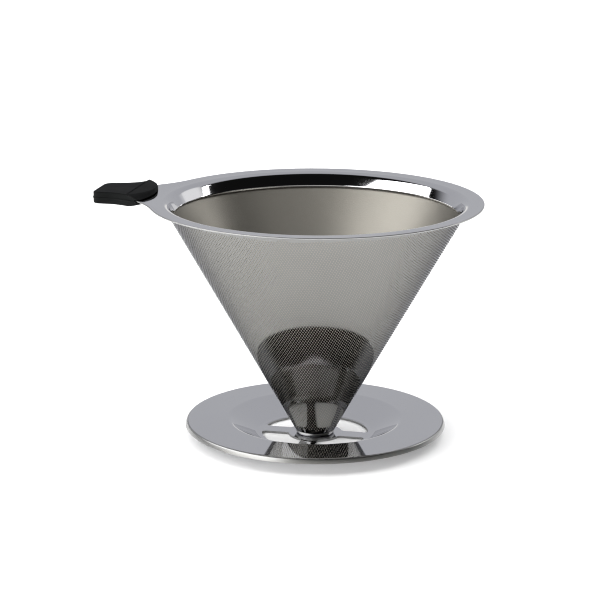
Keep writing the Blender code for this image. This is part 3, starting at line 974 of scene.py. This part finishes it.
def add_world():
    """Studio round the object: a grey wall with a pale foot behind it, dark above the camera, and pale
    low down."""
    n = Nodes(bpy.data.worlds.new("studio"), "Background")
    place = n.place("Generated")
    curve = "SMOOTHSTEP"
    level = n.dot(place, (0.0, 0.0, 1.0))

    def below(low, high):
        """1 under one elevation, falling to 0 at another."""
        return n.span(level, 1.0, 0.0, math.sin(math.radians(low)), math.sin(math.radians(high)), curve)

    def near(left, elevation, outer, inner):
        """1 within the inner angle from a direction, falling to 0 at the outer one."""
        return n.span(n.dot(place, towards(left, elevation)), 0.0, 1.0,
                      math.cos(math.radians(outer)), math.cos(math.radians(inner)), curve)

    wall = n.span(n.dot(place, towards(180.0, 35.0)), 0.0, 1.0, 0.55, 0.72, curve)
    foot = n.math("MULTIPLY", below(9.0, 11.0), near(180.0, 0.0, 9.0, 5.0))
    ahead = n.span(n.dot(place, towards(0.0, 0.0)), 0.0, 1.0, 0.0, 0.3, curve)
    leftwards = n.span(n.dot(place, towards(90.0, 0.0)), 0.15, 1.0, -0.7, 0.85)
    glow = n.math("MULTIPLY", n.math("MULTIPLY", below(5.0, 28.0), ahead), leftwards)
    colour = n.blend(wall, (0.006, 0.006, 0.006), (0.497, 0.503, 0.53))
    colour = n.blend(foot, colour, (0.85, 0.84, 0.82))
    colour = n.blend(glow, colour, (1.6, 1.57, 1.48))
    colour = n.blend(near(-125.0, 18.0, 18.0, 8.0), colour, (1.0, 1.0, 1.0))
    bpy.context.scene.world = n.finish(Color=colour)


def shine_on(lamp, *names):
    """Let a lamp light only the objects with these names."""
    lit = bpy.data.collections.new(lamp.name + "_receivers")
    for name in names:
        lit.objects.link(bpy.data.objects[name])
    lamp.light_linking.receiver_collection = lit


def add_lights():
    """A broad light on the left, a narrow one on the right, and soft ones for the floor and woven wall."""
    area_light("left_box", left=71.5, elevation=29.0, distance=1.1, width=1.69, height=0.67, radiance=3.2)
    area_light("right_strip", left=-111.0, elevation=25.0, distance=1.1, width=0.10, height=0.4,
               radiance=8.0)
    over = area_light("floor_top_light", left=180.0, elevation=63.0, distance=3.35, width=7.0, height=7.0,
                      radiance=2.05, mirrored=False)
    over.rotation_quaternion = Quaternion()    # it faces straight down
    front = area_light("floor_front_light", left=0.0, elevation=12.0, distance=2.0, width=3.0, height=0.7,
                       radiance=10.4, mirrored=False)
    inside = area_light("inside_light", left=-8.0, elevation=50.0, distance=1.2, width=2.4, height=0.9,
                        radiance=0.62)
    shine_on(over, "floor")
    shine_on(front, "floor")
    shine_on(inside, "woven_wall", "tip_cup")


def dress(piece, body, slot, *nodes):
    """Fix a piece to its body, and let it stand for its CAD nodes, which are hidden. The slot argument is
    not used.
    """
    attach(piece, body)
    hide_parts(*nodes)


def build():
    """Every visible piece of the dripper."""
    dark = (0.66, 0.66, 0.68)
    light = (0.70, 0.70, 0.715)
    collar_steel = polished_steel("collar_steel", dark, light, 0.03, 0.09, RIM_RADIUS - 2.0)
    saucer_steel = polished_steel("saucer_steel", dark, light, 0.03, 0.07, ROLL_START, True)
    # Painted shade: the tip disc, cup and rivet use the collar's polished steel painted far darker, so they
    # look shaded and lose their highlights.
    tip_steel = polished_steel("tip_steel", (0.20, 0.20, 0.21), (0.26, 0.26, 0.27), 0.22, 0.34,
                               DISC_RADIUS - 0.25)
    dress(rim_collar(collar_steel), "dripper", "collar_steel", "rim_collar")
    for panel in outer_filter_cone(perforated_steel()):
        dress(panel, "dripper", "perforated_steel", "outer_filter_cone")
    dress(inner_mesh_cone(woven_steel()), "dripper", "woven_steel", "inner_mesh_cone")
    dress(inner_tip_cup(tip_steel), "dripper", "tip_steel", "inner_tip_cup")
    dress(tip_disc(tip_steel), "dripper", "tip_steel", "tip_disc")
    dress(hub_rivet(tip_steel), "dripper", "tip_steel", "hub_rivet")
    dress(saucer_stand(saucer_steel), "dripper", "saucer_steel", "saucer_stand")
    dress(grip_sleeve(silicone()), "grip", "black_silicone", "grip_sleeve")


add_camera()
add_floor()
add_world()
build()
add_lights()
bpy.context.scene.view_settings.view_transform = "Standard"
bpy.context.scene.cycles.filter_width = 1.1
